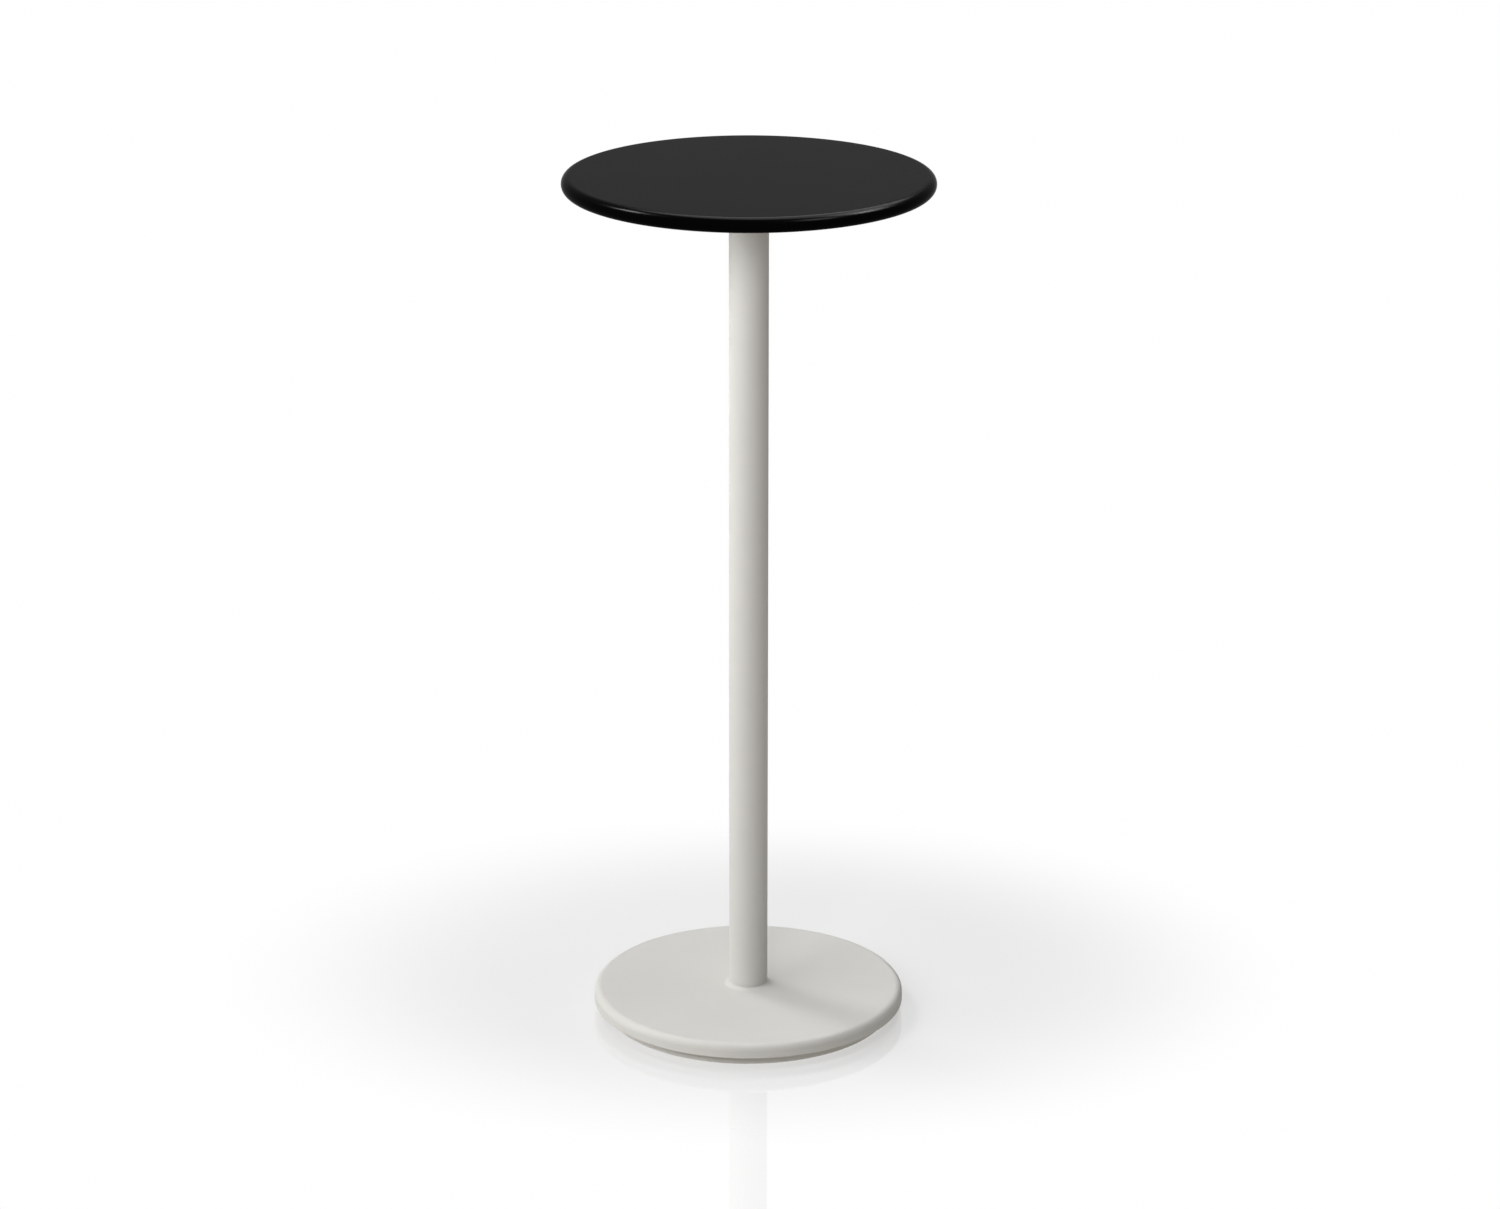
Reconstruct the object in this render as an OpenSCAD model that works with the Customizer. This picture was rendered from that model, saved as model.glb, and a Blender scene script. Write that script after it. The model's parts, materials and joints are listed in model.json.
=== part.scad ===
// Round bar table on a disc base. The half-round-edged top is screwed to a cast four-armed spider.
// One long tie rod clamps the spider, the column tube and the ribbed base cover together. The cover
// is screwed to a steel ballast disc and carries four swivel levelling glides.
// Millimetres, +Z up. The origin is on the floor, on the axis of the column.

/* [Table] */
// Height of the tabletop's upper face above the floor
table_h = 1080; // [1000:5:1150]

/* [Tabletop] */
// Diameter of the tabletop
top_d = 450; // [400:5:600]
// Thickness of the tabletop, whose edge is a full half round
top_t = 19; // [17:0.5:25]

/* [Column] */
// Outside diameter of the column tube
tube_d = 48.3; // [42:0.1:55]
// Wall of the column tube
tube_wall = 2; // [1.5:0.25:3]
// Radial clearance between the tube and the two sockets that hold it
socket_gap = 0.15; // [0.1:0.05:0.3]

/* [Top spider] */
// Distance from the column's axis to the tabletop screws
spider_reach = 140; // [120:5:170]
// Thickness of the flange that lies against the tabletop
flange_t = 5; // [4:0.5:7]
// Width of an arm's flange, measured at the column's axis
arm_root_w = 44; // [36:1:50]
// Diameter of the screw boss at the tip of an arm
tip_d = 26; // [22:1:32]
// Depth of the tip boss below the tabletop
tip_depth = 10; // [8:1:14]
// Thickness of the web under an arm, at its lower edge
web_t = 5; // [4:0.5:8]
// Depth of the web where it meets the hub, below the tabletop
web_depth = 27; // [22:1:30]
// Height of the web's outer end above the foot of the tip boss
web_step = 1.5; // [1:0.25:3]
// Radius of the fillets between the web and the flange
web_fillet = 3; // [1.5:0.25:3]
// Depth of the hub below the tabletop
hub_depth = 34; // [31:1:40]
// Wall of the hub round the tube's socket
hub_wall = 6.5; // [5:0.5:9]
// Radius of the fillet between the hub and the flange
hub_fillet = 6; // [3:0.5:8]
// Width of the round flange beyond the fillet
flange_rim = 3; // [2:0.5:8]
// Thickness of metal above the tube's end, tapped for the tie rod
hub_web = 13; // [11:0.5:16]

/* [Tabletop fasteners] */
// Thread diameter of the tabletop screws and of the hub's set screws
screw_d = 6; // [5:1:6]
// Length of a tabletop screw under its head
screw_len = 20; // [18:1:21]
// Diameter of a tabletop screw's head
screw_head_d = 10.5; // [10:0.5:13]
// Height of a tabletop screw's head
screw_head_h = 3.3; // [2.8:0.1:4.5]
// Width across flats of the hexagon socket in a tabletop screw
screw_key = 4; // [3:0.5:5]
// Outside diameter of the washer under a tabletop screw
washer_d = 12; // [11:0.5:16]
// Thickness of the washer under a tabletop screw
washer_t = 1.6; // [1:0.1:2.5]
// Outside diameter of a threaded insert in the tabletop
insert_d = 9.2; // [8.5:0.1:11]
// Length of a threaded insert in the tabletop
insert_len = 12; // [10:0.5:13]
// Length of a set screw that locks the hub to the tube
set_screw_len = 6; // [5:0.5:6]
// Width across flats of the hexagon socket in a set screw
set_screw_key = 3; // [2.5:0.1:3.5]
// Depth of the set screws' axes below the tabletop
set_screw_depth = 24; // [20:1:25]

/* [Tie rod] */
// Thread diameter of the tie rod
rod_d = 10; // [8:1:12]
// Width across flats of the tie rod's nuts
rod_nut_af = 17; // [16:0.5:19]
// Height of a nut on the tie rod
rod_nut_h = 8.4; // [7:0.1:10]
// Outside diameter of the large washer under the base hub
rod_washer_d = 30; // [24:1:36]
// Thickness of the large washer
rod_washer_t = 2.5; // [2:0.1:3]
// Outside diameter of the spring washer
spring_washer_d = 18.1; // [16.5:0.1:21]
// Thickness of the spring washer
spring_washer_t = 2.2; // [1.8:0.1:2.6]
// Width of the split in the spring washer
spring_split = 1.6; // [1:0.1:2.5]
// Length of rod that shows below its lower nut
rod_stick_out = 2; // [1:0.5:3]
// Height of the rod's lower end above the floor
rod_end_gap = 3.9; // [3:0.1:4.5]
// Distance of the rod's upper end below the tabletop
rod_top_gap = 2; // [1:0.5:3]

/* [Base cover] */
// Diameter of the base cover
base_d = 390; // [375:5:450]
// Height of the base's upper face above the floor
base_h = 33; // [32:0.5:36]
// Height of the cover's edge, measured down from its upper face
cover_h = 18; // [17:0.5:19]
// Wall of the cover casting
cover_wall = 5; // [4:0.5:6]
// Radius that rounds the cover's upper edge
edge_r = 9; // [6.5:0.5:10]
// Radius that breaks the cover's lower edge
lip_r = 1; // [0.5:0.25:1.5]
// Width of the cove that the column stands in, beyond the tube's socket
cove_w = 7; // [5:0.5:10]
// Height of the cove above the base's upper face
cove_h = 4; // [3:0.25:6]
// Depth of the tube's foot below the base's upper face
foot_depth = 6; // [5:0.5:7]
// Diameter of the hub under the cover
base_hub_d = 68; // [66:1:76]
// Thickness of the cover's ribs at their lower edge
rib_t = 3.5; // [3:0.25:5]
// Width of the ring under the cover that seats on the ballast disc
seat_w = 6; // [5:0.5:8]
// Distance from the seat ring to the ballast disc's edge
seat_inset = 8; // [6:0.5:12]

/* [Ballast disc] */
// Diameter of the steel ballast disc
ballast_d = 360; // [350:1:364]
// Height of the disc's underside above the floor
floor_gap = 1; // [0.75:0.25:1.5]
// Radius that breaks the disc's edges
ballast_edge_r = 1.5; // [0.5:0.25:3]
// Diameter of the opening round the tie rod's nut
ballast_eye_d = 60; // [44:1:64]

/* [Ballast screws] */
// Distance from the column's axis to the ballast screws
ballast_screw_reach = 100; // [80:5:115]
// Thread diameter of the ballast screws
ballast_screw_d = 8; // [6:1:8]
// Diameter of a ballast screw's countersunk head
ballast_screw_head_d = 16; // [14:0.5:17]
// Depth of a ballast screw's head below the disc's underside
ballast_screw_sink = 0.3; // [0.1:0.1:0.8]
// Width across flats of the hexagon socket in a ballast screw
ballast_screw_key = 5; // [4:0.5:6]
// Diameter of the cover's bosses for screws and glides
boss_d = 19; // [16:0.5:22]

/* [Levelling glides] */
// Distance from the column's axis to the glides
glide_reach = 146; // [132:2:150]
// Thread diameter of a glide's stem
stem_d = 8; // [7:1:10]
// Width across flats of the hexagon on a stem
stem_af = 13; // [12:0.5:15]
// Height of the hexagon on a stem
stem_hex_h = 3.5; // [3:0.25:4]
// Diameter of the neck between the hexagon and the ball
neck_d = 5; // [4:0.25:5.5]
// Diameter of the ball at a stem's foot
ball_d = 7.2; // [6.8:0.1:7.4]
// Height of the ball's centre above the floor
ball_z = 5.6; // [5.5:0.1:6]
// Diameter of a glide's moulded pad
pad_d = 25; // [22:0.5:27]
// Diameter of the collar round the pad's ball seat
collar_d = 15; // [13:0.5:18]
// Height of that collar
collar_h = 2.2; // [1:0.2:3]
// Radius that rounds the pad's rim
pad_rim_r = 0.75; // [0.5:0.05:1]
// Height of the pad's top above the floor
pad_h = 9.4; // [9:0.1:9.6]
// Width of the pad's rim round its rubber sole
sole_rim = 1.5; // [1.2:0.1:3]
// Thickness of the rubber sole
sole_t = 1.2; // [1:0.1:1.3]
// Height of the pad's rim above the floor, which the sole stands out by
sole_proud = 0.4; // [0.2:0.1:0.6]
// Clearance round the ball and its neck in the pad
ball_gap = 0.3; // [0.2:0.05:0.35]
// Clearance round the pad in the ballast disc
pad_gap = 3.5; // [2.5:0.5:4.5]

/* [Clearances] */
// Radial clearance of a thread, a nut or an insert in the hole that holds it
thread_gap = 0.05; // [0.03:0.01:0.1]
// Radial clearance of a bolt or rod in a hole that it passes through
hole_gap = 0.4; // [0.25:0.05:0.6]
// Clearance left beyond the end of a screw in a blind hole
end_gap = 0.8; // [0.5:0.1:1.5]
// Chamfer that starts the thread at the end of a rod, screw or stem
thread_chamfer = 0.8; // [0.4:0.1:1.2]

/* [Hidden] */
GLIDES = 4;
$fn = 96;

ARMS = 4;
BALLAST_SCREWS = 4;
RIBS = 12;
DIAGONAL = 45;

// Levels
under_z = table_h - top_t;
hub_z = under_z - hub_depth;
tube_top = under_z - hub_web;
tube_foot = base_h - foot_depth;
cover_z = base_h - cover_h;
ceiling_z = base_h - cover_wall;
rod_foot = rod_end_gap;
rod_top = under_z - rod_top_gap;
rod_nut_z = rod_foot + rod_stick_out;
spring_z = rod_nut_z + rod_nut_h;
rod_washer_z = spring_z + spring_washer_t;
base_hub_z = rod_washer_z + rod_washer_t;
screw_seat_z = under_z - tip_depth - washer_t;
stem_top = ceiling_z - end_gap;
hex_z = cover_z - stem_hex_h;

// Radii
socket_r = tube_d / 2 + socket_gap;
hub_r = socket_r + hub_wall;
base_r = base_d / 2;
base_hub_r = base_hub_d / 2;
ballast_r = ballast_d / 2;
rod_r = rod_d / 2;
rod_hole_r = rod_r + hole_gap;
rod_thread_r = rod_r + thread_gap;
screw_r = screw_d / 2;
screw_hole_r = screw_r + hole_gap;
screw_thread_r = screw_r + thread_gap;
insert_r = insert_d / 2;
stem_r = stem_d / 2;
pad_r = pad_d / 2;
sole_r = pad_r - sole_rim;
ball_seat_r = ball_d / 2 + ball_gap;
seat_r = ballast_r - seat_inset;
boss_r = boss_d / 2;

// The key socket reaches this share of a screw head's height
KEY_DEPTH = 0.6;
// The flat face left by the chamfer on a hexagon, as a share of its width across flats
HEX_FACE = 0.95;
// Slope of the chamfer on a hexagon's corners, in degrees
HEX_SLOPE = 30;
// A rib or web widens this much on each side for every millimetre of its height
DRAFT = 0.06;
// Flats that make up a web's fillet
FILLET_FLATS = 4;
// Cutting bodies run this far past the faces that they cut, and ribs into the walls that they join
PAST = 1;

WHITE_GREY = [0.82, 0.81, 0.78];
BLACK = [0.05, 0.05, 0.05];
CAST = [0.62, 0.63, 0.64];
ZINC = [0.72, 0.73, 0.74];
BRASS = [0.72, 0.6, 0.32];
MOULDED = [0.12, 0.12, 0.12];
RUBBER = [0.22, 0.22, 0.22];

// Distance between opposite corners of a hexagon, halved, from its width across flats
function hex_r(af) = af / sqrt(3);

// Radius of an arc that is level at its end and rises by rise over a run
function arc_r(run, rise) = (run * run + rise * rise) / (2 * rise);

// Places the children count times round the column's axis
module around(count, reach, start = 0) {
    for (i = [0:count - 1])
        rotate(start + 360 * i / count)
            translate([reach, 0, 0])
                children();
}

// Half section of a disc from the axis out to r, with its outer corners rounded
module disc_section(r, z0, z1, r_low, r_high) {
    translate([0, z0 + r_low]) square([r, z1 - z0 - r_low - r_high]);
    translate([0, z0]) square([r - r_low, z1 - z0 - r_high]);
    translate([0, z0 + r_low]) square([r - r_high, z1 - z0 - r_low]);
    translate([r - r_low, z0 + r_low]) circle(r_low);
    translate([r - r_high, z1 - r_high]) circle(r_high);
}

// Hexagon bar or socket standing on z
module hexagon(af, z, h) {
    translate([0, 0, z]) cylinder(r = hex_r(af), h = h, $fn = 6);
}

// Hexagon of a nut or stem standing on z, its corners chamfered at both faces
module chamfered_hexagon(af, z, h) {
    face_r = af / 2 * HEX_FACE;
    far_r = hex_r(af) + PAST;
    rise = (far_r - face_r) * tan(HEX_SLOPE);
    intersection() {
        hexagon(af, z, h);
        rotate_extrude()
            polygon([
                [0, z], [face_r, z], [far_r, z + rise],
                [far_r, z + h - rise], [face_r, z + h], [0, z + h]
            ]);
    }
}

// Round bar from z0 to z1 with a chamfer at its upper end
module threaded_bar(r, z0, z1) {
    translate([0, 0, z0]) cylinder(r = r, h = z1 - z0 - thread_chamfer);
    translate([0, 0, z1 - thread_chamfer]) cylinder(r1 = r, r2 = r - thread_chamfer, h = thread_chamfer);
}

// Plain ring standing on z
module ring(r_out, r_in, z, h) {
    translate([0, 0, z])
        difference() {
            cylinder(r = r_out, h = h);
            translate([0, 0, -PAST]) cylinder(r = r_in, h = h + 2 * PAST);
        }
}

// Section of a rib whose lower edge is t wide at z0 and which widens upwards to z1
module rib_section(t, z0, z1) {
    spread = t / 2 + DRAFT * (z1 - z0);
    polygon([[-t / 2, z0], [t / 2, z0], [spread, z1], [-spread, z1]]);
}

// Fillets of radius r on both sides of such a rib, below a plate whose lower face is at plate_z
module rib_fillets(t, z0, plate_z, r) {
    foot = t / 2 + DRAFT * (plate_z - r - z0);
    arc = [for (i = [0:FILLET_FLATS]) 90 * i / FILLET_FLATS];
    right = [for (a = arc) [foot + r - r * cos(a), plate_z - r + r * sin(a)]];
    left = [for (a = arc) [r * cos(90 - a) - foot - r, plate_z - r + r * sin(90 - a)]];
    polygon(concat(right, [[foot + r, plate_z + PAST], [-foot - r, plate_z + PAST]], left));
}

// Places an upright section so that it runs from x0 to x1
module along_x(x0, x1) {
    translate([x0, 0, 0]) rotate([90, 0, 90]) linear_extrude(x1 - x0) children();
}

// Round top with a half-round edge and blind holes for the four inserts
module tabletop() {
    edge = top_t / 2;
    color(BLACK)
        difference() {
            rotate_extrude() {
                translate([0, under_z]) square([top_d / 2 - edge, top_t]);
                intersection() {
                    translate([top_d / 2 - edge, under_z + edge]) circle(edge);
                    translate([0, under_z]) square([top_d / 2, top_t]);
                }
            }
            around(ARMS, spider_reach, DIAGONAL)
                translate([0, 0, under_z - PAST])
                    cylinder(r = insert_r + thread_gap, h = insert_len + PAST);
        }
}

// Threaded inserts, flush with the underside of the top
module tabletop_inserts() {
    color(BRASS)
        around(ARMS, spider_reach, DIAGONAL)
            ring(insert_r, screw_thread_r, under_z, insert_len);
}

// Outline of one arm's flange: the outer tangents from a circle at the axis to the tip's circle
module arm_outline() {
    root_r = arm_root_w / 2;
    tip_r = tip_d / 2;
    lean = asin((root_r - tip_r) / spider_reach);
    polygon([
        [root_r * sin(lean), root_r * cos(lean)],
        [root_r * sin(lean), -root_r * cos(lean)],
        [spider_reach + tip_r * sin(lean), -tip_r * cos(lean)],
        [spider_reach + tip_r * sin(lean), tip_r * cos(lean)]
    ]);
    translate([spider_reach, 0]) circle(tip_r);
}

// One arm: flange, hollow-curved web and screw boss
module spider_arm() {
    web_end = spider_reach - tip_d / 2 + web_t / 2;
    web_end_depth = tip_depth - web_step;
    hollow_r = arc_r(web_end - hub_r, web_depth - web_end_depth);
    translate([0, 0, under_z - flange_t]) linear_extrude(flange_t) arm_outline();
    difference() {
        along_x(hub_r - hub_wall / 2, web_end) {
            rib_section(web_t, under_z - web_depth, under_z - flange_t / 2);
            rib_fillets(web_t, under_z - web_depth, under_z - flange_t, web_fillet);
        }
        translate([web_end, 0, under_z - web_end_depth - hollow_r])
            rotate([90, 0, 0])
                cylinder(r = hollow_r, h = 2 * arm_root_w, center = true, $fn = 360);
    }
    translate([spider_reach, 0, under_z - tip_depth]) cylinder(r = tip_d / 2, h = tip_depth);
}

// Cast spider: hub with a socket for the tube, four webbed arms and a filleted flange
module top_spider() {
    fillet_z = under_z - flange_t - hub_fillet;
    color(CAST)
        difference() {
            union() {
                rotate_extrude() {
                    disc_section(hub_r, hub_z, under_z, 1.5, 0.5);
                    translate([0, under_z - flange_t]) square([hub_r + hub_fillet + flange_rim, flange_t]);
                    difference() {
                        translate([hub_r - PAST, fillet_z]) square([hub_fillet + PAST, hub_fillet + PAST]);
                        translate([hub_r + hub_fillet, fillet_z]) circle(hub_fillet);
                    }
                }
                rotate(DIAGONAL)
                    for (i = [0:ARMS - 1])
                        rotate(360 * i / ARMS) spider_arm();
            }
            translate([0, 0, hub_z - PAST]) cylinder(r = socket_r, h = tube_top - hub_z + PAST);
            translate([0, 0, tube_top - PAST]) cylinder(r = rod_thread_r, h = hub_web + 2 * PAST);
            around(ARMS, spider_reach, DIAGONAL)
                translate([0, 0, under_z - tip_depth - PAST])
                    cylinder(r = screw_hole_r, h = tip_depth + 2 * PAST);
            for (a = [0, 90])
                rotate(a)
                    translate([tube_d / 2 - PAST, 0, under_z - set_screw_depth])
                        rotate([0, 90, 0])
                            cylinder(r = screw_thread_r, h = hub_wall + 2 * hub_fillet);
        }
}

// Button-head screws, domed below, that hold the top to the spider
module spider_screws() {
    crown_z = screw_seat_z - screw_head_h;
    dome_r = arc_r(screw_head_d / 2, screw_head_h);
    color(ZINC)
        around(ARMS, spider_reach, DIAGONAL)
            difference() {
                union() {
                    threaded_bar(screw_r, screw_seat_z - screw_head_h / 2, screw_seat_z + screw_len);
                    rotate_extrude()
                        intersection() {
                            translate([0, crown_z + dome_r]) circle(dome_r);
                            translate([0, crown_z]) square([screw_head_d / 2, screw_head_h]);
                        }
                }
                hexagon(screw_key, crown_z - PAST, screw_head_h * KEY_DEPTH + PAST);
            }
}

// Washers between the screw heads and the spider's tips
module spider_washers() {
    color(ZINC)
        around(ARMS, spider_reach, DIAGONAL)
            ring(washer_d / 2, screw_hole_r, screw_seat_z, washer_t);
}

// Two set screws through the hub's wall, which lock the spider to the tube
module hub_set_screws() {
    color(ZINC)
        for (a = [0, 90])
            rotate(a)
                translate([tube_d / 2 + thread_gap, 0, under_z - set_screw_depth])
                    rotate([0, 90, 0])
                        difference() {
                            cylinder(r = screw_r, h = set_screw_len);
                            hexagon(set_screw_key, set_screw_len / 2, set_screw_len / 2 + PAST);
                        }
}

// Welded steel tube between the two sockets
module column_tube() {
    color(WHITE_GREY) ring(tube_d / 2, tube_d / 2 - tube_wall, tube_foot, tube_top - tube_foot);
}

// Threaded rod that clamps spider, tube and base cover together, chamfered at both ends
module tie_rod() {
    color(ZINC) {
        threaded_bar(rod_r, rod_foot + thread_chamfer, rod_top);
        translate([0, 0, rod_foot]) cylinder(r1 = rod_r - thread_chamfer, r2 = rod_r, h = thread_chamfer);
    }
}

// Hexagon nut of the tie rod, standing on z
module nut_at(z) {
    difference() {
        chamfered_hexagon(rod_nut_af, z, rod_nut_h);
        translate([0, 0, z - PAST]) cylinder(r = rod_thread_r, h = rod_nut_h + 2 * PAST);
    }
}

// Nut that locks the rod in the spider, inside the tube
module rod_lock_nut() {
    color(ZINC) nut_at(tube_top - rod_nut_h);
}

// Large washer against the base hub
module rod_washer() {
    color(ZINC) ring(rod_washer_d / 2, rod_hole_r, rod_washer_z, rod_washer_t);
}

// Split spring washer
module rod_spring_washer() {
    color(ZINC)
        difference() {
            ring(spring_washer_d / 2, rod_hole_r, spring_z, spring_washer_t);
            translate([0, -spring_split / 2, spring_z - PAST])
                cube([spring_washer_d, spring_split, spring_washer_t + 2 * PAST]);
        }
}

// Lower nut, tightened from below through the ballast disc's eye
module rod_nut() {
    color(ZINC) nut_at(rod_nut_z);
}

// Half section of the cove that rises from the base to the tube
module cove_section() {
    bend = arc_r(cove_w, cove_h);
    difference() {
        translate([0, base_h - PAST]) square([socket_r + cove_w, cove_h + PAST]);
        translate([socket_r + cove_w, base_h + bend]) circle(bend, $fn = 240);
    }
}

// Cast cover: rounded shell, cove and tube socket above, and seat ring, ribs and bosses below
module base_cover() {
    shell_r = base_r - cover_wall;
    inner_round = max(edge_r - cover_wall, 1);
    color(WHITE_GREY)
        difference() {
            union() {
                rotate_extrude() {
                    difference() {
                        disc_section(base_r, cover_z, base_h, lip_r, edge_r);
                        translate([0, cover_z - PAST])
                            difference() {
                                square([shell_r, ceiling_z - cover_z + PAST]);
                                translate([shell_r - inner_round, ceiling_z - cover_z + PAST - inner_round])
                                    difference() {
                                        square(inner_round + PAST);
                                        circle(inner_round);
                                    }
                            }
                    }
                    cove_section();
                    translate([0, base_hub_z]) square([base_hub_r, base_h - base_hub_z - cover_wall / 2]);
                    translate([seat_r - seat_w, cover_z]) square([seat_w, base_h - cover_z - cover_wall / 2]);
                }
                for (i = [0:RIBS - 1])
                    rotate(360 * i / RIBS)
                        along_x(base_hub_r - rib_t, shell_r + PAST)
                            rib_section(rib_t, base_hub_z, ceiling_z + PAST);
                around(BALLAST_SCREWS, ballast_screw_reach) boss();
                around(GLIDES, glide_reach, DIAGONAL) boss();
                around(GLIDES, 0, DIAGONAL)
                    along_x(glide_reach, seat_r - seat_w / 2)
                        rib_section(rib_t, base_hub_z, ceiling_z + PAST);
            }
            translate([0, 0, tube_foot]) cylinder(r = socket_r, h = foot_depth + cove_h + PAST);
            translate([0, 0, base_hub_z - PAST]) cylinder(r = rod_hole_r, h = base_h);
            around(BALLAST_SCREWS, ballast_screw_reach) blind_hole(ballast_screw_d / 2 + thread_gap);
            around(GLIDES, glide_reach, DIAGONAL) blind_hole(stem_r + thread_gap);
        }
}

// Round boss from the ballast disc's top face up into the cover's wall
module boss() {
    translate([0, 0, cover_z]) cylinder(r = boss_r, h = base_h - cover_z - cover_wall / 2);
}

// Hole up into a boss that stops at the cover's wall
module blind_hole(r) {
    translate([0, 0, cover_z - PAST]) cylinder(r = r, h = ceiling_z - cover_z + PAST);
}

// Countersunk head or its seat: a short rim and a cone that ends in the shank
module sunk_head(head_r, shank_r, z) {
    translate([0, 0, z]) cylinder(r1 = head_r, r2 = shank_r, h = head_r - shank_r);
}

// Steel disc with an eye for the rod's nut, countersunk screw holes and glide openings
module ballast_disc() {
    shank_r = ballast_screw_d / 2;
    head_r = ballast_screw_head_d / 2;
    color(WHITE_GREY)
        difference() {
            rotate_extrude() disc_section(ballast_r, floor_gap, cover_z, ballast_edge_r, ballast_edge_r);
            translate([0, 0, floor_gap - PAST]) cylinder(d = ballast_eye_d, h = cover_z);
            around(BALLAST_SCREWS, ballast_screw_reach) {
                translate([0, 0, floor_gap - PAST]) cylinder(r = shank_r + hole_gap, h = cover_z);
                sunk_head(head_r + thread_gap, shank_r + thread_gap, floor_gap + ballast_screw_sink);
                translate([0, 0, floor_gap - PAST])
                    cylinder(r = head_r + thread_gap, h = PAST + ballast_screw_sink);
            }
            around(GLIDES, glide_reach, DIAGONAL)
                translate([0, 0, floor_gap - PAST]) cylinder(r = pad_r + pad_gap, h = cover_z);
        }
}

// Countersunk screws that hold the ballast disc to the cover
module ballast_screws() {
    shank_r = ballast_screw_d / 2;
    head_r = ballast_screw_head_d / 2;
    head_z = floor_gap + ballast_screw_sink;
    color(ZINC)
        around(BALLAST_SCREWS, ballast_screw_reach)
            difference() {
                union() {
                    threaded_bar(shank_r, head_z, stem_top);
                    sunk_head(head_r, shank_r, head_z);
                }
                hexagon(ballast_screw_key, head_z - PAST, (head_r - shank_r) * KEY_DEPTH + PAST);
            }
}

// Moves the children from the column's axis to glide i
module at_glide(i) {
    rotate(DIAGONAL + 360 * (i - 1) / GLIDES) translate([glide_reach, 0, 0]) children();
}

// Glide stem: ball, neck, hexagon and thread
module glide_stem(i) {
    color(ZINC)
        at_glide(i) {
            translate([0, 0, ball_z]) sphere(d = ball_d);
            translate([0, 0, ball_z]) cylinder(d = neck_d, h = hex_z - ball_z + stem_hex_h / 2);
            chamfered_hexagon(stem_af, hex_z, stem_hex_h);
            threaded_bar(stem_r, hex_z + stem_hex_h / 2, stem_top);
        }
}

// Moulded pad: a cone with a rounded rim, a collar with a snap-in seat for the ball, and a recess below
module glide_pad(i) {
    mouth_r = ball_d / 2 - ball_gap / 2;
    rim_x = pad_r - pad_rim_r;
    color(MOULDED)
        at_glide(i)
            difference() {
                rotate_extrude() {
                    polygon([
                        [0, sole_proud], [rim_x, sole_proud], [rim_x, sole_proud + 2 * pad_rim_r],
                        [collar_d / 2, pad_h - collar_h], [collar_d / 2, pad_h], [0, pad_h]
                    ]);
                    translate([rim_x, sole_proud + pad_rim_r]) circle(pad_rim_r);
                }
                translate([0, 0, ball_z]) sphere(r = ball_seat_r);
                translate([0, 0, ball_z]) cylinder(r = mouth_r, h = pad_h);
                translate([0, 0, sole_proud - PAST])
                    cylinder(r = sole_r + thread_gap, h = sole_t - sole_proud + PAST);
            }
}

// Rubber sole let into the pad
module glide_sole(i) {
    color(RUBBER) at_glide(i) cylinder(r = sole_r, h = sole_t);
}

tabletop();
tabletop_inserts();
top_spider();
spider_screws();
spider_washers();
hub_set_screws();
column_tube();
tie_rod();
rod_lock_nut();
rod_washer();
rod_spring_washer();
rod_nut();
base_cover();
ballast_disc();
ballast_screws();
for (i = [1:GLIDES]) {
    glide_stem(i);
    glide_pad(i);
    glide_sole(i);
}
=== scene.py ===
import json
import math

import bmesh
import bpy
from mathutils import Matrix, Vector

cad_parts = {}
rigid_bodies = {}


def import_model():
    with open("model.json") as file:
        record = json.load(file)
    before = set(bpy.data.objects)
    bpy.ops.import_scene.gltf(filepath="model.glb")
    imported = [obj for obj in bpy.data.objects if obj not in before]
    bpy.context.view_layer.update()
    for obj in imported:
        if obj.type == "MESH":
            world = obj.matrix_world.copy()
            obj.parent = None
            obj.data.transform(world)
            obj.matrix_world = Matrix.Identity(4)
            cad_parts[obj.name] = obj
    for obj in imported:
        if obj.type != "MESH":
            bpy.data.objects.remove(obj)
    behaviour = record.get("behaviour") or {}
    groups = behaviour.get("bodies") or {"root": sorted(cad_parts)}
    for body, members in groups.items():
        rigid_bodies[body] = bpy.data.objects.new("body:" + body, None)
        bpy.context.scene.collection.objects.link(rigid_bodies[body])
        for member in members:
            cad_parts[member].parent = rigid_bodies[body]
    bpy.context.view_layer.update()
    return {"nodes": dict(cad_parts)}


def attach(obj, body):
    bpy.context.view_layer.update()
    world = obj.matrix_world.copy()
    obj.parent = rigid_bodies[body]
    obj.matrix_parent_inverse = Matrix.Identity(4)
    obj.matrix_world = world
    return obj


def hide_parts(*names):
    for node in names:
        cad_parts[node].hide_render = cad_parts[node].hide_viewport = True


for leftover in list(bpy.data.objects):
    bpy.data.objects.remove(leftover)
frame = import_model()
node = frame["nodes"]
scene = bpy.context.scene
scene.view_settings.view_transform = "Standard"


# Camera: it stands in front of the table and looks down at it. Place and lens come from fitting
# the outlines of top, column and base.
CAMERA_PLACE = (0.0, -5.2436, 2.2889)
CAMERA_DOWN, CAMERA_RIGHT, CAMERA_ROLL = math.radians(18.46), 0.00033, 0.00096
LENS_MM, SENSOR_MM, FAR_CLIP = 107.6, 36.0, 200

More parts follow.
